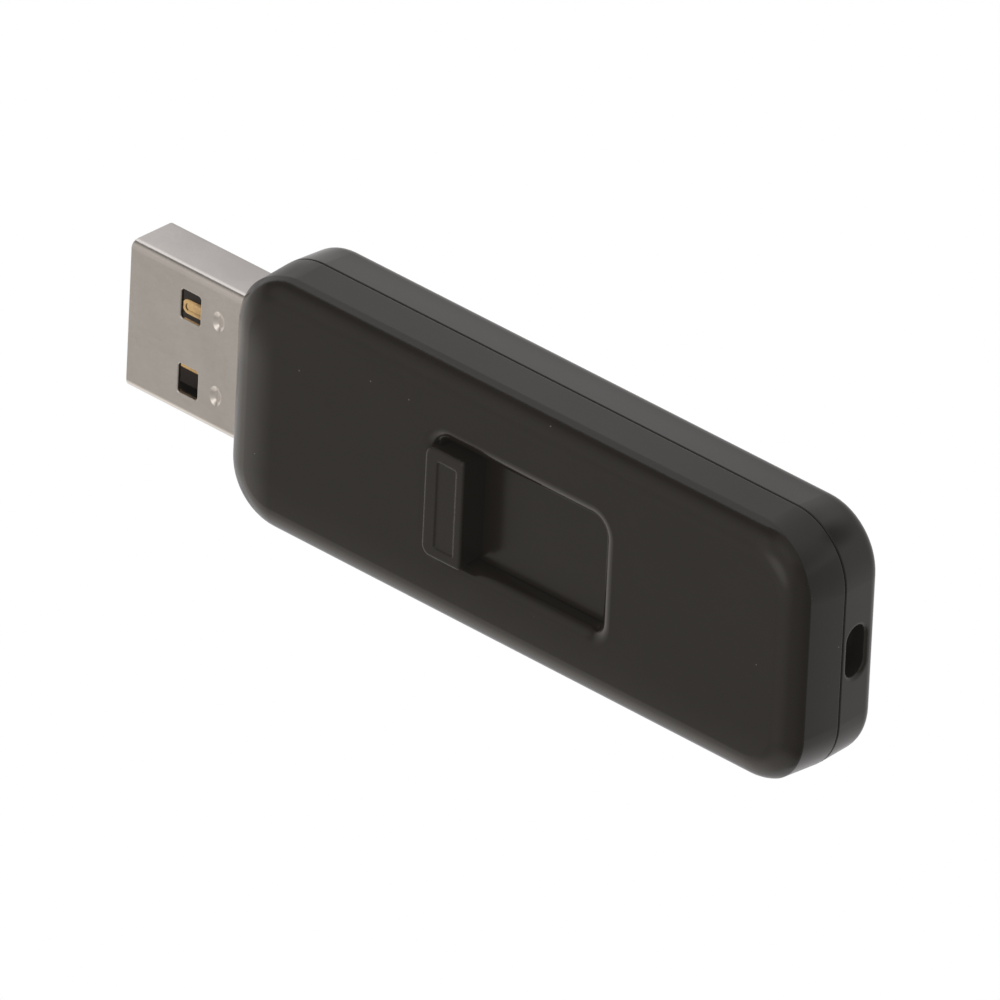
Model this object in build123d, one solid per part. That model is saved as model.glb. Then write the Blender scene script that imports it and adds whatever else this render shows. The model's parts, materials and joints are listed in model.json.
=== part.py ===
from build123d import *
import os

# Retractable USB stick: a two-half plastic case, a sliding carriage with plug and board, and a thumb button.
# Millimetres. +Z is up out of the slider face, the plug points to -X, and the origin is on the flat back face.

# ---- case ----
CASE_L = 56.4
CASE_W = 20.8
CORNER_R = 5.0
PART_Z = 3.85
TOP_Z = 8.5
SEAM = 0.06
SEAM_CHAMFER = 0.07
FRONT_DRAFT = 3.5
REAR_DRAFT = 3.0
FRONT_EDGE_R = 2.4
END_CREASE = 0.2
SIDE_CREASE = 0.03
REAR_EDGE_R = 1.1
WALL = 1.3
ROOF_T = 1.5
FLOOR_T = 1.2
LIP_H = 0.9
LIP_OUT = 0.62
LIP_IN = 1.25
LIP_GAP = 0.05

# ---- slider window ----
WIN_X0 = -7.3
WIN_X1 = 8.8
WIN_W = 8.8
WIN_CORNER_R = 1.0
WIN_RIM_R = 1.35

# ---- plug ----
PLUG_TIP_X = -40.2
PLUG_W = 12.0
PLUG_H = 4.5
PLUG_Z = 3.68
PLUG_WALL = 0.3
PLUG_R = 0.66
PLUG_BACK_X = -24.0
PLUG_TAB_X = -21.6
PORT_GAP = 0.2
PORT_R = 0.8
LATCH_WIN_X = 6.13
LATCH_WIN_Y = 3.05
LATCH_WIN_L = 1.95
LATCH_WIN_W = 2.4
LATCH_WIN_R = 0.25
LATCH_WIN_EDGE = 0.07
DIMPLE_X = 8.9
DIMPLE_L = 1.15
DIMPLE_W = 1.6
DIMPLE_FLOOR_L = 0.4
DIMPLE_FLOOR_W = 0.8
DIMPLE_DEPTH = 0.2

# ---- travel and carriage ----
TRAVEL = 12.2
TRAY_X0 = -26.4
TRAY_X1 = 9.8
TRAY_CORNER_R = 3.2
TRAY_HALF_W = 8.05
TRAY_WALL = 0.8
TRAY_TOP = 6.93
TRAY_PLATE = 0.88
TRAY_BOTTOM = 1.56
BASE_X0 = -23.6
BASE_HALF_W = 7.2
BASE_T = 0.6
RAIL_TOP = 1.5
CLIP_XS = (-15.0, 4.0)
CLIP_HALF_L = 1.4
CLIP_Z0 = 1.75
CLIP_Z1 = 2.1
PILLAR_XS = (-11.4, 8.4)
PILLAR_Y = 6.2
PILLAR_R = 0.6

# ---- thumb button ----
BTN_X0 = -7.65
BTN_X1 = -3.85
BTN_Y0 = -4.55
BTN_Y1 = 4.3
BTN_TOP = 9.22
BTN_UNDER = 8.42
BTN_STEM_X0 = -7.15
BTN_STEM_R = 0.8
BTN_CORNER_R = 0.8
BTN_NEAR_R = 0.3
BTN_EDGE_R = 0.22
BTN_PANEL_X = -5.5
BTN_PANEL_Y = -0.15
BTN_PANEL_L = 7.1
BTN_PANEL_W = 1.9
BTN_PANEL_R = 0.12
BTN_PANEL_D = 0.12
BTN_PANEL_DRAFT = 25
BTN_PEG_X = -5.75
BTN_PEG_YS = (-2.6, 2.6)
BTN_PEG_L = 0.8
BTN_PEG_R = 0.55

# ---- board ----
PCB_X0 = -23.9
PCB_X1 = 9.4
PCB_HALF_W = 7.0
PCB_Z = 2.2
PCB_T = 0.8
PCB_TOP = PCB_Z + PCB_T
NOSE_X1 = -21.3
NOSE_HALF_W = 5.55

# ---- contacts ----
TONGUE_TOP = 3.25
CONTACT_W = 1.2
CONTACT_T = 0.2
CONTACT_TOP = 3.33
CONTACT_EDGE_R = 0.08
CONTACT_PAD_W = 0.56
CONTACT_PAD_L = 5.0
CONTACT_PAD_D = 0.05
OUTER_Y = 3.5
INNER_Y = 1.0
OUTER_START = -38.2
INNER_START = -37.3
CONTACT_BEND_X = -23.4
CONTACT_END_X = -22.2

# ---- lanyard slot ----
SLOT_W = 4.0
SLOT_H = 1.95
SLOT_Z = 2.3
SLOT_EDGE_R = 0.35
POCKET_X0 = 23.1
POCKET_HALF_W = 3.2
BAR_X = 26.0
BAR_L = 1.1
BAR_W = 1.7
BAR_R = 0.35
BAR_TOP = 4.6
BOSS_X = 25.4
BOSS_W = 2.6
BOSS_R = 0.6
RIB_T = 0.7
RAIL_X0 = -24.0
RAIL_Y = 6.4
STOP_HALF_W = 9.2
GUIDE_HALF_L = 12.0
GUIDE_Z = 5.2
HOOK_XS = (-18.0, 18.0)
HOOK_HALF_L = 2.5
HOOK_Y0 = 8.35
HOOK_Y1 = 9.0
HOOK_TIP_Y = 9.35
HOOK_TOP = 5.95
HOOK_CATCH_Z = 5.1
DETENT_X = 4.0
DETENT_HALF_L = 0.6
DETENT_HALF_W = 1.5


def block(x0, x1, y0, y1, z0, z1):
    """Plain box between two corners."""
    size = Box(x1 - x0, y1 - y0, z1 - z0)
    return Pos((x0 + x1) / 2, (y0 + y1) / 2, (z0 + z1) / 2) * size


def plan_prism(inset, z0, z1):
    """Straight prism of the case outline drawn in by inset."""
    outline = RectangleRounded(CASE_L - 2 * inset, CASE_W - 2 * inset, CORNER_R - inset)
    return Pos(0, 0, z0) * extrude(outline, z1 - z0)


def rounded_tube_core(width, height, radius, x0, x1, z):
    """Solid bar along X with a rounded rectangular section, used for the plug and its port."""
    section = RectangleRounded(width, height, radius)
    bar = extrude(Plane(origin=(x0, 0, z), x_dir=(0, 1, 0), z_dir=(1, 0, 0)) * section, x1 - x0)
    return bar


def plug_port():
    """Opening in the plug end of the case, split between the two halves."""
    inside = -CASE_L / 2 + WALL + 0.4
    width = PLUG_W + 2 * PORT_GAP
    height = PLUG_H + 2 * PORT_GAP
    return rounded_tube_core(width, height, PORT_R, -CASE_L / 2 - 1, inside, PLUG_Z)


def snap_positions():
    """Centres of the four snap hooks that close the case."""
    return [(x, side) for x in HOOK_XS for side in (-1, 1)]


def front_shell():
    """Upper case half with the slider window, the guide rails and the hook pockets."""
    base_z = PART_Z + SEAM / 2
    outline = Pos(0, 0, base_z) * RectangleRounded(CASE_L, CASE_W, CORNER_R)
    walls = extrude(outline, TOP_Z - base_z, taper=FRONT_DRAFT)
    walls = chamfer(walls.faces().sort_by(Axis.Z)[0].edges(), SEAM_CHAMFER)
    wide = RectangleRounded(CASE_L + 2 * END_CREASE, CASE_W + 2 * SIDE_CREASE, CORNER_R)
    dome = extrude(Pos(0, 0, base_z) * wide, TOP_Z - base_z, taper=FRONT_DRAFT)
    dome = fillet(dome.faces().sort_by(Axis.Z)[-1].edges(), FRONT_EDGE_R)
    shell = walls & dome
    shell -= plan_prism(WALL, base_z, TOP_Z - ROOF_T)
    shell -= plan_prism(LIP_OUT - LIP_GAP, base_z - 1, PART_Z + LIP_H + LIP_GAP)
    window = RectangleRounded(WIN_X1 - WIN_X0, WIN_W, WIN_CORNER_R)
    cutter = Pos((WIN_X0 + WIN_X1) / 2, 0, TOP_Z - ROOF_T - 1) * extrude(window, ROOF_T + 2)
    shell -= cutter
    rim = [
        e
        for e in shell.edges().filter_by_position(Axis.Z, TOP_Z - 0.01, TOP_Z + 0.01)
        if abs(e.center().Y) < WIN_W / 2 + 0.1 and WIN_X0 - 0.1 < e.center().X < WIN_X1 + 0.1
    ]
    shell = fillet(rim, WIN_RIM_R)
    for side in (-1, 1):
        y_in = TRAY_HALF_W + 0.1
        y_out = CASE_W / 2 - WALL + 0.1
        low, high = sorted((side * y_in, side * y_out))
        shell += block(-GUIDE_HALF_L, GUIDE_HALF_L, low, high, GUIDE_Z, TOP_Z - ROOF_T + 0.1)
    boss = Pos(BOSS_X, 0, BAR_TOP + 0.1) * RectangleRounded(BOSS_W, BOSS_W, BOSS_R)
    shell += extrude(boss, TOP_Z - ROOF_T - BAR_TOP)
    for x, side in snap_positions():
        low, high = sorted((side * (HOOK_Y1 - 0.1), side * (HOOK_TIP_Y + 0.1)))
        half = HOOK_HALF_L + 0.2
        shell -= block(x - half, x + half, low, high, HOOK_CATCH_Z - 0.1, HOOK_TOP + 0.1)
    shell -= plug_port()
    return shell


def snap_hook(x, side):
    """Springy arm with an outward tooth that clicks into the upper half."""
    x0 = x - HOOK_HALF_L
    low, high = sorted((side * HOOK_Y0, side * HOOK_Y1))
    hook = block(x0, x + HOOK_HALF_L, low, high, FLOOR_T - 0.1, HOOK_TOP)
    root = side * (HOOK_Y1 - 0.05)
    tip = side * HOOK_TIP_Y
    tooth = Polyline(
        (root, HOOK_TOP), (tip, HOOK_CATCH_Z + 0.25), (tip, HOOK_CATCH_Z), (root, HOOK_CATCH_Z), close=True
    )
    face = make_face(Plane(origin=(x0, 0, 0), x_dir=(0, 1, 0), z_dir=(1, 0, 0)) * tooth)
    return hook + extrude(face, 2 * HOOK_HALF_L, dir=(1, 0, 0))


def rear_shell():
    """Lower case half with the flat back, the locating lip, the rails and the lanyard pocket."""
    top_z = PART_Z - SEAM / 2
    down = Plane(origin=(0, 0, top_z), x_dir=(1, 0, 0), z_dir=(0, 0, -1))
    shell = extrude(down * RectangleRounded(CASE_L, CASE_W, CORNER_R), top_z, taper=REAR_DRAFT)
    shell = fillet(shell.faces().sort_by(Axis.Z)[0].edges(), REAR_EDGE_R)
    shell = chamfer(shell.faces().sort_by(Axis.Z)[-1].edges(), SEAM_CHAMFER)
    lip = plan_prism(LIP_OUT, top_z - 0.5, PART_Z + LIP_H) - plan_prism(LIP_IN, top_z - 1, PART_Z + LIP_H + 1)
    shell -= plan_prism(LIP_IN, FLOOR_T, top_z + 1)
    shell += lip
    for side in (-1, 1):
        low, high = sorted((side * RAIL_Y, side * (RAIL_Y + RIB_T)))
        shell += block(RAIL_X0, POCKET_X0 - 0.5, low, high, FLOOR_T - 0.1, RAIL_TOP)
    shell += block(POCKET_X0 - 0.6, POCKET_X0, -STOP_HALF_W, STOP_HALF_W, FLOOR_T - 0.1, BAR_TOP)
    for side in (-1, 1):
        low, high = sorted((side * POCKET_HALF_W, side * (POCKET_HALF_W + RIB_T)))
        shell += block(POCKET_X0 - 0.1, CASE_L / 2 - WALL + 0.2, low, high, FLOOR_T - 0.1, PART_Z - 0.05)
    slot_end = CASE_L / 2 + 1
    slot = SlotOverall(SLOT_W, SLOT_H)
    side_plane = Plane(origin=(POCKET_X0, 0, SLOT_Z), x_dir=(0, 1, 0), z_dir=(1, 0, 0))
    shell -= extrude(side_plane * slot, slot_end - POCKET_X0)
    mouth = [
        e
        for e in shell.edges().filter_by_position(Axis.X, CASE_L / 2 - 0.6, CASE_L / 2)
        if abs(e.center().Y) < SLOT_W / 2 + 0.1 and abs(e.center().Z - SLOT_Z) < SLOT_H / 2 + 0.1
    ]
    shell = fillet(mouth, SLOT_EDGE_R)
    bar_foot = FLOOR_T - 0.1
    bar = Pos(BAR_X, 0, bar_foot) * RectangleRounded(BAR_L, BAR_W, BAR_R)
    shell += extrude(bar, BAR_TOP - bar_foot)
    for x in (DETENT_X, DETENT_X + TRAVEL):
        notch = (x - DETENT_HALF_L, x + DETENT_HALF_L, -DETENT_HALF_W, DETENT_HALF_W)
        shell -= block(*notch, FLOOR_T - 0.2, FLOOR_T + 0.1)
    for x, side in snap_positions():
        shell += snap_hook(x, side)
    shell -= plug_port()
    return shell


def slider_carriage():
    """Channel that slides inside the case and holds the plug and the board."""
    tray = block(TRAY_X0, TRAY_X1, -TRAY_HALF_W, TRAY_HALF_W, TRAY_TOP - TRAY_PLATE, TRAY_TOP)
    for side in (-1, 1):
        inner = TRAY_HALF_W - TRAY_WALL
        low, high = sorted((side * inner, side * TRAY_HALF_W))
        tray += block(TRAY_X0, TRAY_X1, low, high, TRAY_BOTTOM, TRAY_TOP - TRAY_PLATE + 0.1)
        low, high = sorted((side * (PLUG_W / 2 + 0.04), side * (inner + 0.1)))
        tray += block(TRAY_X0, PLUG_BACK_X - 0.5, low, high, TRAY_BOTTOM, TRAY_TOP - TRAY_PLATE + 0.1)
        for x in CLIP_XS:
            low, high = sorted((side * (inner - 0.1), side * (TRAY_HALF_W + 0.1)))
            half = CLIP_HALF_L + 0.2
            tray -= block(x - half, x + half, low, high, CLIP_Z0 - 0.05, CLIP_Z1 + 0.05)
        for x in PILLAR_XS:
            pillar = extrude(Circle(PILLAR_R), TRAY_TOP - PCB_TOP - 0.3)
            tray += Pos(x, side * PILLAR_Y, PCB_TOP + 0.04) * pillar
    for y in BTN_PEG_YS:
        tray -= Pos(BTN_PEG_X, y, TRAY_TOP - 1) * extrude(Circle(BTN_PEG_R + 0.05), 2)
    envelope = block(TRAY_X0, TRAY_X1, -TRAY_HALF_W, TRAY_HALF_W, TRAY_BOTTOM, TRAY_TOP)
    envelope = fillet(envelope.edges().filter_by(Axis.Z).sort_by(Axis.X)[:2], TRAY_CORNER_R)
    return tray & envelope


def carriage_base():
    """Thin tray under the board, clipped between the walls of the carriage."""
    base = block(BASE_X0, TRAY_X1, -BASE_HALF_W, BASE_HALF_W, TRAY_BOTTOM, TRAY_BOTTOM + BASE_T)
    for side in (-1, 1):
        for x in CLIP_XS:
            low, high = sorted((side * (BASE_HALF_W - 0.1), side * (BASE_HALF_W + 0.5)))
            base += block(x - CLIP_HALF_L, x + CLIP_HALF_L, low, high, CLIP_Z0, CLIP_Z1)
    base -= block(-0.4, 8.4, -1.4, 1.4, TRAY_BOTTOM - 0.1, TRAY_BOTTOM + 0.2)
    return base


def detent_spring():
    """Leaf spring under the base whose bump sits over the click grooves of the case."""
    top = TRAY_BOTTOM + 0.19
    line = Polyline((-0.3, top), (8.3, top), (8.3, top - 0.15), (5.0, top - 0.15), (4.3, 1.24), (3.7, 1.24),
                    (3.0, top - 0.15), (-0.3, top - 0.15), close=True)
    face = make_face(Plane(origin=(0, 1.2, 0), x_dir=(1, 0, 0), z_dir=(0, -1, 0)) * line)
    return extrude(face, 2.4, dir=(0, -1, 0))


def button_plan(x0, y0, y1, far_r):
    """Outline of the thumb piece, more rounded at the plug side than at the open side of the window."""
    outline = Pos((x0 + BTN_X1) / 2, (y0 + y1) / 2) * Rectangle(BTN_X1 - x0, y1 - y0)
    outline = fillet(outline.vertices().sort_by(Axis.X)[:2], far_r)
    return fillet(outline.vertices().sort_by(Axis.X)[-2:], BTN_NEAR_R)


def thumb_button():
    """Wide thumb piece that stands in the window on the carriage, its cap reaching a little over the rim."""
    plan = Pos(0, 0, BTN_UNDER) * button_plan(BTN_X0, BTN_Y0, BTN_Y1, BTN_CORNER_R)
    cap = extrude(plan, BTN_TOP - BTN_UNDER)
    cap = fillet(cap.faces().sort_by(Axis.Z)[-1].edges(), BTN_EDGE_R)
    stem = Pos(0, 0, TRAY_TOP) * button_plan(BTN_STEM_X0, -BTN_Y1, BTN_Y1, BTN_STEM_R)
    cap += extrude(stem, BTN_UNDER - TRAY_TOP + 0.1)
    panel = RectangleRounded(BTN_PANEL_W - BTN_PANEL_D, BTN_PANEL_L - BTN_PANEL_D, BTN_PANEL_R)
    floor = Pos(BTN_PANEL_X, BTN_PANEL_Y, BTN_TOP - BTN_PANEL_D) * panel
    cap -= extrude(floor, 2 * BTN_PANEL_D, taper=-BTN_PANEL_DRAFT)
    for y in BTN_PEG_YS:
        cap += Pos(BTN_PEG_X, y, TRAY_TOP - BTN_PEG_L) * extrude(Circle(BTN_PEG_R), BTN_PEG_L + 0.2)
    return cap


def dimple_former():
    """Oblong punch with sloping sides, pointing down, that presses one dimple into a plug face."""
    mouth = Ellipse(DIMPLE_L / 2, DIMPLE_W / 2)
    floor = Pos(0, 0, -DIMPLE_DEPTH) * Ellipse(DIMPLE_FLOOR_L / 2, DIMPLE_FLOOR_W / 2)
    return loft([mouth, floor]) + extrude(mouth, 0.2)


def latch_window(side):
    """Cutter for one latch window, with slightly broken outer edges on both plug faces."""
    x = PLUG_TIP_X + LATCH_WIN_X
    hole = RectangleRounded(LATCH_WIN_L, LATCH_WIN_W, LATCH_WIN_R)
    wide = RectangleRounded(
        LATCH_WIN_L + 2 * LATCH_WIN_EDGE, LATCH_WIN_W + 2 * LATCH_WIN_EDGE, LATCH_WIN_R + LATCH_WIN_EDGE
    )
    cutter = extrude(Pos(0, 0, -PLUG_H) * hole, 2 * PLUG_H)
    top = PLUG_H / 2
    cutter += loft([Pos(0, 0, top - LATCH_WIN_EDGE) * hole, Pos(0, 0, top) * wide])
    cutter += loft([Pos(0, 0, -top) * wide, Pos(0, 0, LATCH_WIN_EDGE - top) * hole])
    return Pos(x, side * LATCH_WIN_Y, PLUG_Z) * cutter


def usb_shell():
    """Nickel-plated plug sleeve with two latch windows on each face and pressed dimples."""
    x1 = PLUG_BACK_X
    sleeve = rounded_tube_core(PLUG_W, PLUG_H, PLUG_R, PLUG_TIP_X, x1, PLUG_Z)
    in_w = PLUG_W - 2 * PLUG_WALL
    in_h = PLUG_H - 2 * PLUG_WALL
    sleeve -= rounded_tube_core(in_w, in_h, PLUG_R - PLUG_WALL, PLUG_TIP_X - 1, x1 + 1, PLUG_Z)
    front = sleeve.faces().sort_by(Axis.X)[0]
    sleeve = chamfer(front.outer_wire().edges(), 0.1)
    for side in (-1, 1):
        sleeve -= latch_window(side)
        low, high = sorted((side * (PLUG_W / 2 - PLUG_WALL), side * PLUG_W / 2))
        sleeve += block(x1 - 0.1, PLUG_TAB_X, low, high, PCB_Z, 4.6)
        for turn, face_side in ((0, 1), (180, -1)):
            z = PLUG_Z + face_side * PLUG_H / 2
            sleeve -= Pos(PLUG_TIP_X + DIMPLE_X, side * LATCH_WIN_Y, z) * Rot(turn, 0, 0) * dimple_former()
    fold_z = PLUG_Z - PLUG_H / 2
    sleeve -= block(PLUG_TIP_X - 1, x1 + 1, -0.04, 0.04, fold_z - 0.1, fold_z + 0.12)
    return sleeve


def contact(y, start):
    """One gold contact: flat on the tongue, through the insulator, down to its pad."""
    low = CONTACT_TOP - CONTACT_T
    line = Polyline((start, CONTACT_TOP), (CONTACT_BEND_X, CONTACT_TOP), (CONTACT_BEND_X, PCB_TOP + CONTACT_T),
                    (CONTACT_END_X, PCB_TOP + CONTACT_T), (CONTACT_END_X, PCB_TOP),
                    (CONTACT_BEND_X - CONTACT_T, PCB_TOP), (CONTACT_BEND_X - CONTACT_T, low), (start, low), close=True)
    half = CONTACT_W / 2
    face = make_face(Plane(origin=(0, y + half, 0), x_dir=(1, 0, 0), z_dir=(0, -1, 0)) * line)
    bar = extrude(face, CONTACT_W, dir=(0, -1, 0))
    nose = bar.faces().sort_by(Axis.X)[0].edges().filter_by(Axis.Z)
    bar = fillet(nose, CONTACT_W * 0.45)
    rim = bar.faces().sort_by(Axis.Z)[-1].edges().sort_by(Axis.X)
    bar = fillet(rim[:-1], CONTACT_EDGE_R)
    pad = SlotOverall(CONTACT_PAD_L, CONTACT_PAD_W)
    pad_x = start + (CONTACT_W - CONTACT_PAD_W) / 2 + CONTACT_PAD_L / 2
    bar -= Pos(pad_x, y, CONTACT_TOP - CONTACT_PAD_D) * extrude(pad, 1.0)
    return bar


def usb_insulator(contacts):
    """Black tongue and the block that closes the back of the plug sleeve."""
    half_w = PLUG_W / 2 - PLUG_WALL - 0.05
    low = PLUG_Z - PLUG_H / 2 + PLUG_WALL + 0.04
    high = PLUG_Z + PLUG_H / 2 - PLUG_WALL - 0.04
    body = rounded_tube_core(2 * half_w, high - low, PLUG_R - PLUG_WALL, -28.0, PLUG_BACK_X - 0.05, PLUG_Z)
    tongue = block(PLUG_TIP_X + 0.35, -27.9, -half_w + 0.3, half_w - 0.3, low + 0.02, TONGUE_TOP)
    edge = tongue.edges().filter_by(Axis.Y).sort_by(Axis.X)[:2]
    body += chamfer(edge, 0.3)
    for c in contacts:
        body -= c
    return body


def pcb():
    """Circuit board with the narrow nose between the plug's side tabs."""
    board = block(NOSE_X1, PCB_X1, -PCB_HALF_W, PCB_HALF_W, PCB_Z, PCB_TOP)
    board += block(PCB_X0, NOSE_X1 + 0.1, -NOSE_HALF_W, NOSE_HALF_W, PCB_Z, PCB_TOP)
    return board


def leadless_chip(x, y, size_x, size_y, height):
    """Square moulded chip with a small index dimple."""
    chip = Pos(x, y, PCB_TOP + height / 2) * Box(size_x, size_y, height)
    chip = chamfer(chip.faces().sort_by(Axis.Z)[-1].edges(), 0.08)
    corner = Pos(x - size_x / 2 + 0.7, y - size_y / 2 + 0.7, PCB_TOP + height - 0.06)
    return chip - corner * extrude(Circle(0.25), 0.2)


def leaded_chip(x, y, size_x, size_y, height, per_side, pitch):
    """Moulded chip with gull-wing leads along its two long sides."""
    body = Pos(x, y, PCB_TOP + 0.1 + height / 2) * Box(size_x, size_y, height)
    body = chamfer(body.faces().sort_by(Axis.Z)[-1].edges(), 0.12)
    for side in (-1, 1):
        for i in range(per_side):
            lx = x + (i - (per_side - 1) / 2) * pitch
            y_body = y + side * size_y / 2
            low, high = sorted((y_body - side * 0.1, y_body + side * 0.35))
            body += block(lx - 0.2, lx + 0.2, low, high, PCB_TOP + 0.35, PCB_TOP + 0.55)
            low, high = sorted((y_body + side * 0.2, y_body + side * 0.35))
            body += block(lx - 0.2, lx + 0.2, low, high, PCB_TOP, PCB_TOP + 0.5)
            low, high = sorted((y_body + side * 0.2, y_body + side * 0.75))
            body += block(lx - 0.2, lx + 0.2, low, high, PCB_TOP, PCB_TOP + 0.15)
    return body


def chip_part(x, y, length, width, height, along_y=False):
    """Small surface-mount part: a body with slightly thicker end caps."""
    body = Box(length, width, height)
    for side in (-1, 1):
        body += Pos(side * (length / 2 - 0.15), 0, 0) * Box(0.34, width + 0.06, height)
    turned = Rot(0, 0, 90) * body if along_y else body
    return Pos(x, y, PCB_TOP + height / 2) * turned


def crystal(x, y):
    """Metal-lidded crystal on a ceramic base."""
    can = Pos(x, y, PCB_TOP + 0.25) * Box(3.2, 2.5, 0.5)
    lid = extrude(Pos(x, y, PCB_TOP + 0.45) * RectangleRounded(2.9, 2.2, 0.45), 0.4)
    lid = fillet(lid.faces().sort_by(Axis.Z)[-1].edges(), 0.15)
    return can + lid


def inductor(x, y):
    """Round-wound power inductor with flanges."""
    coil = Pos(x, y, PCB_TOP) * extrude(RectangleRounded(3.0, 3.0, 0.4), 0.35)
    coil += Pos(x, y, PCB_TOP) * extrude(Circle(1.15), 1.4)
    coil += Pos(x, y, PCB_TOP + 1.1) * extrude(Circle(1.45), 0.35)
    return coil


def pin_solder(y):
    """Solder fillet behind one contact foot."""
    line = Polyline((0, 0), (0.45, 0), (0, 0.2), close=True)
    plane = Plane(origin=(CONTACT_END_X, y + 0.45, PCB_TOP), x_dir=(1, 0, 0), z_dir=(0, -1, 0))
    return extrude(make_face(plane * line), 0.9, dir=(0, -1, 0))


def tab_solder(side):
    """Solder fillet between a side tab of the plug sleeve and the board."""
    y_tab = side * (PLUG_W / 2 - PLUG_WALL)
    line = Polyline((y_tab, PCB_TOP), (y_tab - side * 0.7, PCB_TOP), (y_tab, PCB_TOP + 0.7), close=True)
    face = make_face(Plane(origin=(-23.1, 0, 0), x_dir=(0, 1, 0), z_dir=(1, 0, 0)) * line)
    return extrude(face, 1.2, dir=(1, 0, 0))


os.makedirs("parts", exist_ok=True)

contacts = {
    "contact_vbus": contact(OUTER_Y, OUTER_START),
    "contact_data_minus": contact(INNER_Y, INNER_START),
    "contact_data_plus": contact(-INNER_Y, INNER_START),
    "contact_ground": contact(-OUTER_Y, OUTER_START),
}

nodes = {
    "front_shell": front_shell(),
    "rear_shell": rear_shell(),
    "slider_carriage": slider_carriage(),
    "carriage_base": carriage_base(),
    "detent_spring": detent_spring(),
    "thumb_button": thumb_button(),
    "usb_shell": usb_shell(),
    "usb_insulator": usb_insulator(contacts.values()),
    "pcb": pcb(),
    "usb_controller": leadless_chip(-14.8, 0, 7.0, 7.0, 0.85),
    "sampling_chip": leadless_chip(-5.2, 0, 8.0, 8.0, 0.9),
    "memory_chip": leaded_chip(4.6, 3.2, 5.0, 3.9, 1.4, 4, 1.27),
    "regulator": leaded_chip(-18.6, 5.15, 2.9, 1.6, 1.0, 3, 0.95),
    "esd_array": leaded_chip(-19.9, 0, 2.9, 1.6, 1.0, 3, 0.95),
    "crystal": crystal(-7.0, 5.5),
    "inductor": inductor(-18.3, -5.1),
    "tantalum_capacitor": chip_part(5.0, -3.6, 3.5, 2.8, 1.9),
}
nodes.update(contacts)

capacitor_spots = [(-13.4, 5.2), (-15.2, -5.4), (-9.4, -5.4), (-2.6, 5.4), (0.6, -1.2), (0.6, 1.4)]
for i, (x, y) in enumerate(capacitor_spots, start=1):
    nodes[f"capacitor_{i}"] = chip_part(x, y, 1.6, 0.8, 0.8, along_y=i > 4)

resistor_spots = [(-13.1, -4.7), (-6.6, -5.4), (-3.8, -5.4), (0.9, -5.4)]
for i, (x, y) in enumerate(resistor_spots, start=1):
    nodes[f"resistor_{i}"] = chip_part(x, y, 1.6, 0.8, 0.45)

contact_ys = [OUTER_Y, INNER_Y, -INNER_Y, -OUTER_Y]
for i, y in enumerate(contact_ys, start=1):
    nodes[f"pin_solder_{i}"] = pin_solder(y)
nodes["tab_solder_left"] = tab_solder(1)
nodes["tab_solder_right"] = tab_solder(-1)

for name, shape in nodes.items():
    export_step(shape, f"parts/{name}.step")
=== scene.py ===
"""Looks for the retractable-stick logic analyzer: materials, edge detail, studio and camera.

Everything is in metres in the part's own frame. +Z is out of the slider face, the plug points to -X, and
z = 0 is the flat back.
"""

import json
import math

import bpy
from mathutils import Matrix, Vector

MM = 0.001

# camera, as seen from the object
CAMERA_AZIMUTH = 130.202
CAMERA_ELEVATION = 39.809
CAMERA_ROLL = 115.687
CAMERA_DISTANCE = 2.183
CAMERA_LENS = 1107.0
CAMERA_SENSOR = 36.0
CAMERA_AIM = Vector((-5.189, -1.294, 3.796)) * MM

# studio
FLOOR_SIZE = 3.0
FLOOR_DROP = 0.02 * MM
BACKDROP_COLOUR = (1.0, 1.0, 1.0)
ROOM_GLOW = 0.12
ROOM_TINT = (1.05, 1.0, 0.93)
# name: (direction, half angle of the full part, half angle where it ends, strength)
SOFT_LIGHTS = {
    "ceiling": ((0.0, 0.0, 1.0), 30, 88, 0.17),
    "window_left": ((-0.71, -0.71, 0.0), 0, 40, 0.34),
    "window_plug": ((-0.92, -0.38, 0.05), 0, 45, 0.45),
    "window_front": ((-0.10, -0.96, 0.26), 0, 40, 0.40),
    "overhead": ((-0.20, -0.10, 0.97), 0, 42, 0.22),
    "overhead_spot": ((-0.07, 0.06, 0.99), 0, 21, 0.42),
    "back_plug": ((-0.59, 0.54, 0.60), 0, 26, 0.16),
    "back_high": ((0.0, 0.50, 0.87), 0, 45, 0.2),
    "back_side": ((0.30, 0.92, 0.26), 0, 40, 0.22),
}
# how bright the floor glows in reflections: overall, plus painted pools of light and painted shadows in
# some places.
# Each span runs, in mm, from where a change starts to where it is complete.
FLOOR_GLOW = 0.64
FLOOR_TINT = (1.02, 1.0, 1.0)
# painted pool of light on the floor's +Y side, towards the plug end
FLOOR_BACK_Y = (2, 14)
FLOOR_BACK_X = (32, -5)
FLOOR_LIFT_BACK = 0.14
# painted light on the floor far out beyond the plug
FLOOR_FAR_PLUG_X = (-30, -80)
FLOOR_LIFT_PLUG = 0.2
# painted shadow on the floor past the far (+X) end
FLOOR_END_X = (28, 40)
FLOOR_END_SHADOW = 0.3
# beside the case on the +Y side: painted light close in, turning to painted shade further out
FLOOR_CASE_X = (-31.5, -28.5)
FLOOR_CASE_Y = (10.5, 11.5)
FLOOR_SIDE_Y = (12, 14.5)
FLOOR_LIFT_SIDE = 0.11
FLOOR_SIDE_SHADE = 0.05
# painted shade on the floor beside the plug, +Y side
FLOOR_PLUG_X = (-28.5, -31.5)
FLOOR_PLUG_FAR_Y = (14.5, 12.5)
FLOOR_PLUG_NEAR_Y = (3, 6)
FLOOR_PLUG_SHADE = 0.24
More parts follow.
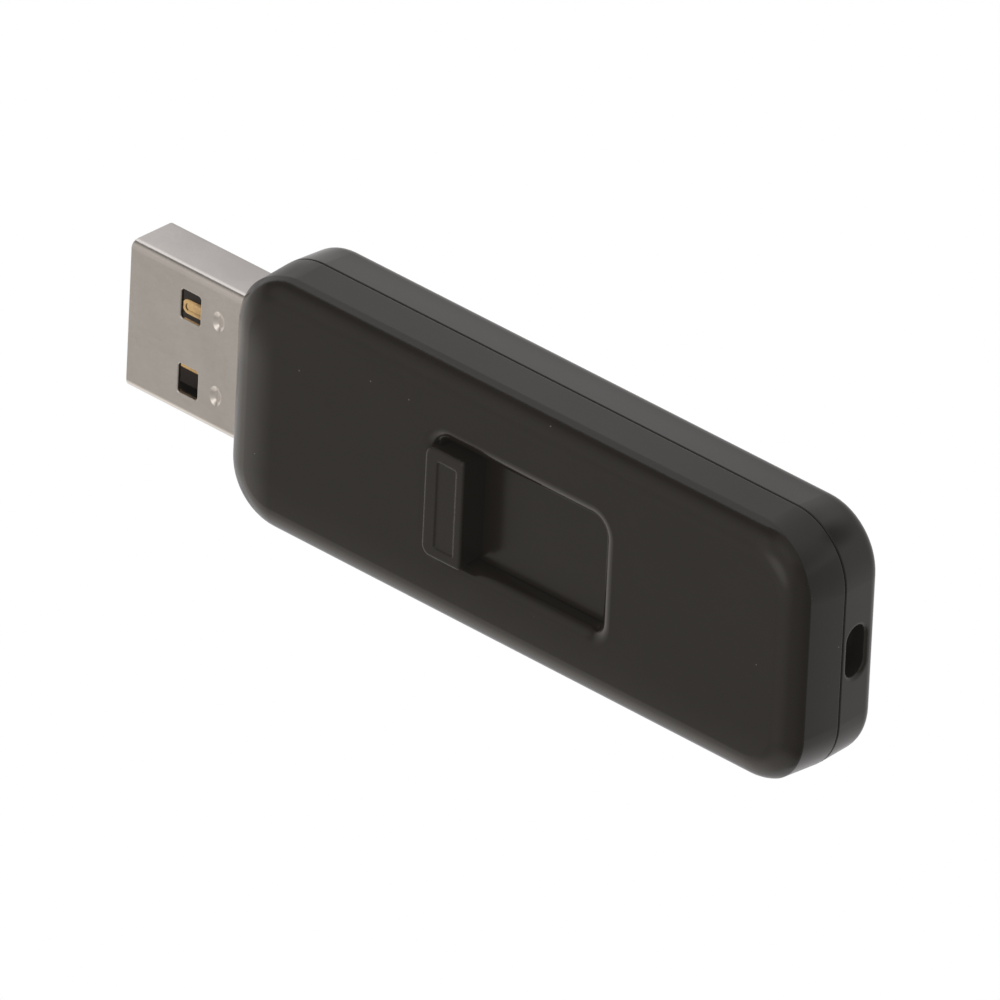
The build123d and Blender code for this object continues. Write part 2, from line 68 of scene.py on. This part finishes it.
# a painted shadow beside one corner, a darker round patch in the floor's glow: centre, where it fades out
# and where it is full
FLOOR_SHADOW_AT = (28.4, 12.6, 0.0)
FLOOR_SHADOW_R = 3.4
FLOOR_SHADOW_CORE = 0.6
FLOOR_SHADOW_DIM = 0.55
FLOOR_PAPER_PER_MM = 0.08
FLOOR_PAPER_DEPTH = 0.03
# stray light in the lens, which keeps the darkest gaps from going fully black
VEIL = (0.0075, 0.0068, 0.0060)

# rounded edges in the shading: samples, and radius in mm
BEVEL_SAMPLES = 6
PLASTIC_EDGE_R = 0.12
BUTTON_EDGE_R = 0.22
NICKEL_EDGE_R = 0.06
GOLD_EDGE_R = 0.1

# the front face falls away a little before its rounded edges start, mm
CROWN_RISE = 2.6
CROWN_FALL = 1.6
CROWN_END_X = -23.2
CROWN_END_SLOPE = 0.20
CROWN_END_FADE_Y = (2.5, 8.5)
CROWN_SIDE_Y = -5.4
CROWN_SIDE_SLOPE = 0.07

# colours, linear
CASE_COLOUR = (0.0162, 0.0132, 0.0108)
CARRIAGE_COLOUR = (0.0150, 0.0122, 0.0098)
NICKEL_COLOUR = (0.872, 0.83, 0.80)
GOLD_COLOUR = (1.0, 0.70, 0.33)
INSULATOR_COLOUR = (0.044, 0.028, 0.019)
RUB_COLOUR = (0.12, 0.115, 0.11)
DUST_COLOUR = (0.30, 0.29, 0.28)
MASK_DARK = (0.012, 0.075, 0.03)
MASK_LIGHT = (0.02, 0.13, 0.05)

# noise runs mostly from 0.3 to 0.7
NOISE_LOW = 0.3
NOISE_HIGH = 0.7
PLASTIC_IOR = 1.5
GRAIN_DEPTH = 0.0042


class Shader:
    """One procedural material: a Principled shader plus helpers that add and join nodes."""

    def __init__(self, name):
        self.material = bpy.data.materials.new(name)
        self.material.use_nodes = True
        self.tree = self.material.node_tree
        self.bsdf = self.tree.nodes["Principled BSDF"]
        self.coords = self.add("ShaderNodeTexCoord").outputs["Object"]

    def add(self, kind, inputs=None, **settings):
        node = self.tree.nodes.new(kind)
        for key, value in settings.items():
            setattr(node, key, value)
        for key, value in (inputs or {}).items():
            if isinstance(value, bpy.types.NodeSocket):
                self.tree.links.new(value, node.inputs[key])
            else:
                node.inputs[key].default_value = value
        return node

    def in_mm(self, stretch=(1, 1, 1), turn=(0, 0, 0)):
        scale = [s / MM for s in stretch]
        node = self.add("ShaderNodeMapping", {"Vector": self.coords, "Scale": scale, "Rotation": turn})
        return node.outputs["Vector"]

    def noise(self, per_mm, detail=3.0, roughness=0.5, distortion=0.0, stretch=(1, 1, 1), turn=(0, 0, 0)):
        inputs = {
            "Vector": self.in_mm(stretch, turn),
            "Scale": per_mm,
            "Detail": detail,
            "Roughness": roughness,
            "Distortion": distortion,
        }
        return self.add("ShaderNodeTexNoise", inputs).outputs["Fac"]

    def remap(self, value, low, high, to_low=0.0, to_high=1.0, smooth=False):
        kind = "SMOOTHSTEP" if smooth else "LINEAR"
        inputs = {"Value": value, "From Min": low, "From Max": high, "To Min": to_low, "To Max": to_high}
        return self.add("ShaderNodeMapRange", inputs, interpolation_type=kind).outputs["Result"]

    def math(self, operation, a, b=0.0):
        return self.add("ShaderNodeMath", {0: a, 1: b}, operation=operation).outputs[0]

    def mix_colour(self, fac, a, b):
        node = self.add("ShaderNodeMix", data_type="RGBA")
        for index, value in ((0, fac), (6, a), (7, b)):
            if isinstance(value, bpy.types.NodeSocket):
                self.tree.links.new(value, node.inputs[index])
            else:
                node.inputs[index].default_value = value
        return node.outputs[2]

    def bump(self, height, depth_mm, strength=1.0, under=None):
        inputs = {"Height": height, "Distance": depth_mm * MM, "Strength": strength}
        if under is not None:
            inputs["Normal"] = under
        return self.add("ShaderNodeBump", inputs).outputs["Normal"]

    def soft_edges(self, radius_mm):
        """Normals that run smoothly over sharp edges, as if each edge were rounded to this radius."""
        bevel = self.add("ShaderNodeBevel", {"Radius": radius_mm * MM}, samples=BEVEL_SAMPLES)
        return bevel.outputs["Normal"]

    def crown(self, coordinate, start, slope):
        """Drop in mm beyond a line across the face: it steepens to the slope, then levels out again."""
        past = self.math("SUBTRACT", start, coordinate)
        near = self.remap(past, 0, CROWN_RISE, 0, CROWN_RISE)
        far = self.remap(past, CROWN_RISE, CROWN_RISE + CROWN_FALL, 0, CROWN_FALL)
        first = self.math("MULTIPLY", self.math("MULTIPLY", near, near), slope / (2 * CROWN_RISE))
        fade = self.math("SUBTRACT", slope, self.math("MULTIPLY", far, slope / (2 * CROWN_FALL)))
        return self.math("ADD", first, self.math("MULTIPLY", far, fade))

    def specks(self, per_mm, radius, share, seed):
        """1 inside small round specks that fill a share of the cells of a 3-D grid, 0 elsewhere."""
        place = (seed, seed * 1.7, seed * 0.6)
        shifted = self.add("ShaderNodeMapping", {"Vector": self.in_mm(), "Location": place})
        cells = self.add("ShaderNodeTexVoronoi", {"Vector": shifted.outputs["Vector"], "Scale": per_mm})
        inside = self.remap(cells.outputs["Distance"], radius, radius * 0.6)
        chosen = self.add("ShaderNodeSeparateColor", {"Color": cells.outputs["Color"]}).outputs["Red"]
        return self.math("MULTIPLY", inside, self.math("LESS_THAN", chosen, share))

    def scratches(self, per_mm, stretch, turn, cut):
        """Sparse thin streaks, 1 on a streak and 0 between them."""
        streaks = self.noise(per_mm, detail=2.0, stretch=stretch, turn=turn)
        patches = self.noise(0.35, detail=1.0)
        fine = self.remap(streaks, cut, cut + 0.03)
        return self.math("MULTIPLY", fine, self.remap(patches, 0.48, 0.62))

    def set(self, **sockets):
        for name, value in sockets.items():
            socket = self.bsdf.inputs[name.replace("_", " ")]
            if isinstance(value, bpy.types.NodeSocket):
                self.tree.links.new(value, socket)
            else:
                socket.default_value = value


def rgba(colour, gain=1.0):
    return (*[c * gain for c in colour], 1.0)


def moulded_plastic(
    name, colour, roughness, grain_depth=GRAIN_DEPTH, dust=True, edge=PLASTIC_EDGE_R, crowned=False
):
    """Dark semi-gloss moulded plastic: fine grain, faint handling marks, a few dust specks."""
    s = Shader(name)
    tone = s.remap(s.noise(0.16, detail=4.0), NOISE_LOW, NOISE_HIGH)
    fine = s.noise(4.6, detail=3.0, roughness=0.65)
    base = s.mix_colour(tone, rgba(colour, 0.93), rgba(colour, 1.07))
    base = s.mix_colour(s.remap(fine, 0.35, 0.75, 0.0, 0.25), base, rgba(colour, 1.35))
    rub = s.scratches(1.6, (0.35, 6.0, 6.0), (0, 0, 0.5), 0.62)
    base = s.mix_colour(s.math("MULTIPLY", rub, 0.03), base, rgba(RUB_COLOUR))
    if dust:
        specks = s.specks(0.55, 0.045, 0.30, 3.0)
        base = s.mix_colour(s.math("MULTIPLY", specks, 0.6), base, rgba(DUST_COLOUR))
    smudge = s.noise(0.28, detail=5.0, roughness=0.62, distortion=0.5)
    gloss = s.remap(smudge, NOISE_LOW, NOISE_HIGH, roughness - 0.012, roughness + 0.02)
    gloss = s.math("ADD", gloss, s.math("MULTIPLY", rub, 0.012))
    grain = s.bump(fine, grain_depth, 0.6, under=s.soft_edges(edge))
    normal = s.bump(s.noise(0.22, detail=2.0), 0.02, 0.35, under=grain)
    if crowned:
        spot = s.add("ShaderNodeSeparateXYZ", {"Vector": s.in_mm()})
        end_drop = s.crown(spot.outputs["X"], CROWN_END_X, CROWN_END_SLOPE)
        end_fade = s.remap(spot.outputs["Y"], *CROWN_END_FADE_Y, 1, 0, smooth=True)
        end_drop = s.math("MULTIPLY", end_drop, end_fade)
        side_drop = s.crown(spot.outputs["Y"], CROWN_SIDE_Y, CROWN_SIDE_SLOPE)
        drop = s.math("ADD", end_drop, side_drop)
        normal = s.bump(s.math("MULTIPLY", drop, -1.0), 1.0, under=normal)
    s.set(Base_Color=base, Roughness=gloss, Normal=normal)
    s.bsdf.inputs["IOR"].default_value = PLASTIC_IOR
    return s.material


def nickel_plate(name):
    """Nickel-plated sheet: rolling grain along the plug, hairline scratches, slightly uneven tone."""
    s = Shader(name)
    tone = s.remap(s.noise(0.3, detail=4.0), NOISE_LOW, NOISE_HIGH)
    rolled = s.noise(9.0, detail=3.0, stretch=(0.12, 1.0, 1.0))
    pits = s.noise(5.5, detail=4.0, roughness=0.65)
    base = s.mix_colour(tone, rgba(NICKEL_COLOUR, 0.95), rgba(NICKEL_COLOUR, 1.03))
    base = s.mix_colour(s.remap(pits, 0.4, 0.72, 0.0, 0.18), base, rgba(NICKEL_COLOUR, 0.72))
    hair = s.scratches(2.2, (0.12, 7.0, 7.0), (0, 0, 0.03), 0.64)
    gloss = s.remap(rolled, NOISE_LOW, NOISE_HIGH, 0.19, 0.25)
    gloss = s.math("SUBTRACT", gloss, s.math("MULTIPLY", hair, 0.03))
    height = s.math("ADD", s.math("MULTIPLY", rolled, 0.5), s.math("MULTIPLY", pits, 0.5))
    grain = s.bump(height, 0.0014, 0.6, under=s.soft_edges(NICKEL_EDGE_R))
    s.set(Base_Color=base, Metallic=1.0, Roughness=gloss, Normal=s.bump(hair, 0.001, 0.12, under=grain))
    return s.material


def gold_plate(name):
    """Gold-plated spring contact with a faint lengthwise drawing grain."""
    s = Shader(name)
    drawn = s.noise(12.0, detail=2.0, stretch=(0.08, 1.0, 1.0))
    tone = s.remap(s.noise(1.2, detail=3.0), NOISE_LOW, NOISE_HIGH)
    base = s.mix_colour(tone, rgba(GOLD_COLOUR, 0.9), rgba(GOLD_COLOUR, 1.05))
    gloss = s.remap(drawn, NOISE_LOW, NOISE_HIGH, 0.14, 0.22)
    grain = s.bump(drawn, 0.001, 0.5, under=s.soft_edges(GOLD_EDGE_R))
    s.set(Base_Color=base, Metallic=1.0, Roughness=gloss, Normal=grain)
    return s.material


def plain_metal(name, colour, low, high):
    """Small bright metal piece with uneven roughness."""
    s = Shader(name)
    cloud = s.noise(2.5, detail=4.0)
    base = s.mix_colour(s.remap(cloud, NOISE_LOW, NOISE_HIGH), rgba(colour, 0.88), rgba(colour, 1.05))
    gloss = s.remap(cloud, NOISE_LOW, NOISE_HIGH, low, high)
    s.set(Base_Color=base, Metallic=1.0, Roughness=gloss, Normal=s.bump(cloud, 0.01, 0.4))
    return s.material


def ceramic(name, colour, end_tone, roughness=0.45):
    """Moulded or sintered body of a small component."""
    s = Shader(name)
    grain = s.noise(6.0, detail=4.0, roughness=0.6)
    base = s.mix_colour(s.remap(grain, 0.3, 0.75), rgba(colour), rgba(end_tone))
    gloss = s.remap(grain, NOISE_LOW, NOISE_HIGH, roughness, roughness + 0.12)
    s.set(Base_Color=base, Roughness=gloss, Normal=s.bump(grain, 0.004, 0.6))
    return s.material


def solder_mask(name):
    """Green board lacquer over faint copper tracks, with bare pads showing as a finer pattern."""
    s = Shader(name)
    tracks = s.add("ShaderNodeTexBrick", {"Vector": s.in_mm(), "Scale": 1.0, "Mortar Size": 0.12})
    tracks = tracks.outputs["Fac"]
    weave = s.noise(3.0, detail=3.0)
    base = s.mix_colour(s.math("MULTIPLY", tracks, 0.7), rgba(MASK_DARK), rgba(MASK_LIGHT))
    gloss = s.remap(weave, NOISE_LOW, NOISE_HIGH, 0.25, 0.34)
    s.set(Base_Color=base, Roughness=gloss, Normal=s.bump(tracks, 0.03, 0.5))
    return s.material


def dress(frame, name, material):
    """Gives a CAD node its finished material."""
    node = frame["nodes"][name]
    for slot in node.material_slots:
        slot.material = material


def add_floor():
    """Plain pale floor. It glows instead of being lit, so the object throws no real shadow on it; in
    reflections its glow carries painted pools of light and painted shadows near the object.
    """
    half = FLOOR_SIZE / 2
    mesh = bpy.data.meshes.new("floor")
    corners = [(-half, -half, 0), (half, -half, 0), (half, half, 0), (-half, half, 0)]
    mesh.from_pydata([(x, y, -FLOOR_DROP) for x, y, _ in corners], [], [(0, 1, 2, 3)])
    floor = bpy.data.objects.new("floor", mesh)
    bpy.context.scene.collection.objects.link(floor)
    s = Shader("floor_glow_painted_shade")
    spot = s.add("ShaderNodeSeparateXYZ", {"Vector": s.in_mm()})
    x, y = spot.outputs["X"], spot.outputs["Y"]
    # painted pool of light on the +Y side, then painted light far beyond the plug
    back_y = s.remap(y, *FLOOR_BACK_Y, smooth=True)
    back = s.math("MULTIPLY", back_y, s.remap(x, *FLOOR_BACK_X, smooth=True))
    level = s.math("ADD", FLOOR_GLOW, s.math("MULTIPLY", back, FLOOR_LIFT_BACK))
    level = s.math("ADD", level, s.remap(x, *FLOOR_FAR_PLUG_X, 0, FLOOR_LIFT_PLUG, smooth=True))
    # painted shadow past the far end
    level = s.math("SUBTRACT", level, s.remap(x, *FLOOR_END_X, 0, FLOOR_END_SHADOW, smooth=True))
    # beside the case: painted light close in, painted shade further out
    beside = s.math("MULTIPLY", s.remap(x, *FLOOR_CASE_X), s.remap(y, *FLOOR_CASE_Y))
    side = s.remap(y, *FLOOR_SIDE_Y, FLOOR_LIFT_SIDE, -FLOOR_SIDE_SHADE, smooth=True)
    level = s.math("ADD", level, s.math("MULTIPLY", beside, side))
    # painted shade beside the plug
    by_plug = s.math("MULTIPLY", s.remap(x, *FLOOR_PLUG_X), s.remap(y, *FLOOR_PLUG_FAR_Y))
    by_plug = s.math("MULTIPLY", by_plug, s.remap(y, *FLOOR_PLUG_NEAR_Y))
    level = s.math("SUBTRACT", level, s.math("MULTIPLY", by_plug, FLOOR_PLUG_SHADE))
    # painted shadow: a darker round patch in the glow beside one corner
    away = s.add("ShaderNodeVectorMath", {0: s.in_mm(), 1: FLOOR_SHADOW_AT}, operation="DISTANCE")
    away = away.outputs["Value"]
    patch = s.remap(away, FLOOR_SHADOW_R, FLOOR_SHADOW_CORE, 0, FLOOR_SHADOW_DIM, smooth=True)
    level = s.math("SUBTRACT", level, patch)
    cloud = s.noise(FLOOR_PAPER_PER_MM, detail=4.0)
    paper = s.remap(cloud, NOISE_LOW, NOISE_HIGH, 1 - FLOOR_PAPER_DEPTH, 1 + FLOOR_PAPER_DEPTH)
    strength = s.math("MULTIPLY", level, paper)
    # glow seen only in reflections: painted light, carrying the painted pools of light and painted shadows
    # above in its strength
    reflected = s.add("ShaderNodeEmission", {"Color": rgba(FLOOR_TINT), "Strength": strength})
    plain = s.add("ShaderNodeEmission", {"Color": rgba(BACKDROP_COLOUR)})
    seen = s.add("ShaderNodeLightPath").outputs["Is Camera Ray"]
    clear = s.add("ShaderNodeBsdfTransparent")
    below = s.add("ShaderNodeNewGeometry").outputs["Backfacing"]
    sheet = s.add("ShaderNodeMixShader", {0: below, 1: plain.outputs[0], 2: clear.outputs[0]})
    join = s.add("ShaderNodeMixShader", {0: seen, 1: reflected.outputs[0], 2: sheet.outputs[0]})
    s.tree.links.new(join.outputs[0], s.tree.nodes["Material Output"].inputs["Surface"])
    s.tree.nodes.remove(s.bsdf)
    s.material.cycles.emission_sampling = "NONE"
    mesh.materials.append(s.material)
    return floor


def add_world():
    """Soft studio surroundings: a dim room with a few large soft lights, each a smooth patch of sky."""
    world = bpy.data.worlds.new("studio")
    bpy.context.scene.world = world
    world.use_nodes = True
    tree = world.node_tree
    tree.nodes.clear()

    def add(kind, **settings):
        node = tree.nodes.new(kind)
        for key, value in settings.items():
            setattr(node, key, value)
        return node

    direction = add("ShaderNodeTexCoord").outputs["Generated"]
    total = None
    for name, (where, inner, outer, strength) in SOFT_LIGHTS.items():
        dot = add("ShaderNodeVectorMath", operation="DOT_PRODUCT", label=name)
        tree.links.new(direction, dot.inputs[0])
        dot.inputs[1].default_value = Vector(where).normalized()
        patch = add("ShaderNodeMapRange", interpolation_type="SMOOTHSTEP")
        tree.links.new(dot.outputs["Value"], patch.inputs["Value"])
        patch.inputs["From Min"].default_value = math.cos(math.radians(outer))
        patch.inputs["From Max"].default_value = math.cos(math.radians(inner))
        patch.inputs["To Max"].default_value = strength
        if total is None:
            patch.inputs["To Min"].default_value = ROOM_GLOW
            patch.inputs["To Max"].default_value = strength + ROOM_GLOW
            total = patch.outputs["Result"]
        else:
            join = add("ShaderNodeMath", operation="ADD")
            tree.links.new(total, join.inputs[0])
            tree.links.new(patch.outputs["Result"], join.inputs[1])
            total = join.outputs[0]
    lights = add("ShaderNodeBackground")
    lights.inputs["Color"].default_value = rgba(ROOM_TINT)
    tree.links.new(total, lights.inputs["Strength"])
    plain = add("ShaderNodeBackground")
    plain.inputs["Color"].default_value = rgba(BACKDROP_COLOUR)
    seen = add("ShaderNodeLightPath")
    mix = add("ShaderNodeMixShader")
    tree.links.new(seen.outputs["Is Camera Ray"], mix.inputs[0])
    tree.links.new(lights.outputs[0], mix.inputs[1])
    tree.links.new(plain.outputs[0], mix.inputs[2])
    output = add("ShaderNodeOutputWorld")
    tree.links.new(mix.outputs[0], output.inputs["Surface"])


def add_camera():
    """Long lens, turned about its own axis the way the stick lies across the picture."""
    azimuth, elevation, roll = (math.radians(a) for a in (CAMERA_AZIMUTH, CAMERA_ELEVATION, CAMERA_ROLL))
    flat = math.cos(elevation)
    back = Vector((math.sin(azimuth) * flat, -math.cos(azimuth) * flat, math.sin(elevation)))
    level_right = Vector((0, 0, 1)).cross(back).normalized()
    level_up = back.cross(level_right)
    up = math.cos(roll) * level_up + math.sin(roll) * level_right
    right = up.cross(back)
    camera = bpy.data.objects.new("camera", bpy.data.cameras.new("camera"))
    bpy.context.scene.collection.objects.link(camera)
    place = Matrix((right, up, back)).transposed().to_4x4()
    place.translation = CAMERA_AIM + back * CAMERA_DISTANCE
    camera.matrix_world = place
    camera.data.lens = CAMERA_LENS
    camera.data.sensor_width = CAMERA_SENSOR
    camera.data.clip_start = CAMERA_DISTANCE / 10
    camera.data.clip_end = CAMERA_DISTANCE * 10
    bpy.context.scene.camera = camera


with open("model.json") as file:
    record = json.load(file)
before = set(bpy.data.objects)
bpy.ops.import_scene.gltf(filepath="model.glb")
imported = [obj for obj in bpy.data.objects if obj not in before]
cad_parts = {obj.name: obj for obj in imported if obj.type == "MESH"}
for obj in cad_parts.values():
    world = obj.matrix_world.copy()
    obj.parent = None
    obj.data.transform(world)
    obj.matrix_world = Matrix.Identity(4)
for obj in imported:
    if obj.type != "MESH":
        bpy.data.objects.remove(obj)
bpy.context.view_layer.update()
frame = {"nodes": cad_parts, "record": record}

front_plastic = moulded_plastic("front_plastic", CASE_COLOUR, 0.16, crowned=True)
case_plastic = moulded_plastic("case_plastic", CASE_COLOUR, 0.16)
button_plastic = moulded_plastic("button_plastic", CASE_COLOUR, 0.2, dust=False, edge=BUTTON_EDGE_R)
carriage_plastic = moulded_plastic("carriage_plastic", CARRIAGE_COLOUR, 0.2, grain_depth=0.003, dust=False)
insulator = moulded_plastic("tongue_plastic", INSULATOR_COLOUR, 0.4, dust=False)
nickel = nickel_plate("nickel_plate")
gold = gold_plate("gold_plate")
spring = plain_metal("spring_steel", (0.6, 0.6, 0.6), 0.22, 0.35)
lid = plain_metal("crystal_lid", (0.7, 0.7, 0.68), 0.2, 0.32)
solder = plain_metal("solder", (0.72, 0.72, 0.73), 0.15, 0.35)
chip = ceramic("chip_epoxy", (0.014, 0.014, 0.015), (0.03, 0.03, 0.032), 0.5)
ferrite = ceramic("ferrite", (0.03, 0.03, 0.032), (0.06, 0.06, 0.065), 0.6)
tantalum = ceramic("tantalum_epoxy", (0.55, 0.27, 0.04), (0.65, 0.36, 0.08), 0.4)
capacitor = ceramic("capacitor_ceramic", (0.3, 0.19, 0.11), (0.42, 0.29, 0.18), 0.35)
resistor = ceramic("resistor_glaze", (0.012, 0.012, 0.016), (0.03, 0.03, 0.036), 0.25)
board = solder_mask("solder_mask")

FINISHES = {
    "case_front": front_plastic,
    "case_rear": case_plastic,
    "carriage_plastic": carriage_plastic,
    "button_plastic": button_plastic,
    "spring_steel": spring,
    "plug_metal": nickel,
    "insulator_plastic": insulator,
    "contact_gold": gold,
    "board": board,
    "chip_body": chip,
    "crystal_metal": lid,
    "ferrite": ferrite,
    "tantalum_body": tantalum,
    "capacitor_body": capacitor,
    "resistor_body": resistor,
    "solder": solder,
}
for part in frame["record"]["subparts"]:
    dress(frame, part["node"], FINISHES[part["material_slot"]])

add_floor()
add_world()
add_camera()
view = bpy.context.scene.view_settings
view.view_transform = "Standard"
view.use_curve_mapping = True
view.curve_mapping.black_level = [-v for v in VEIL]
view.curve_mapping.update()
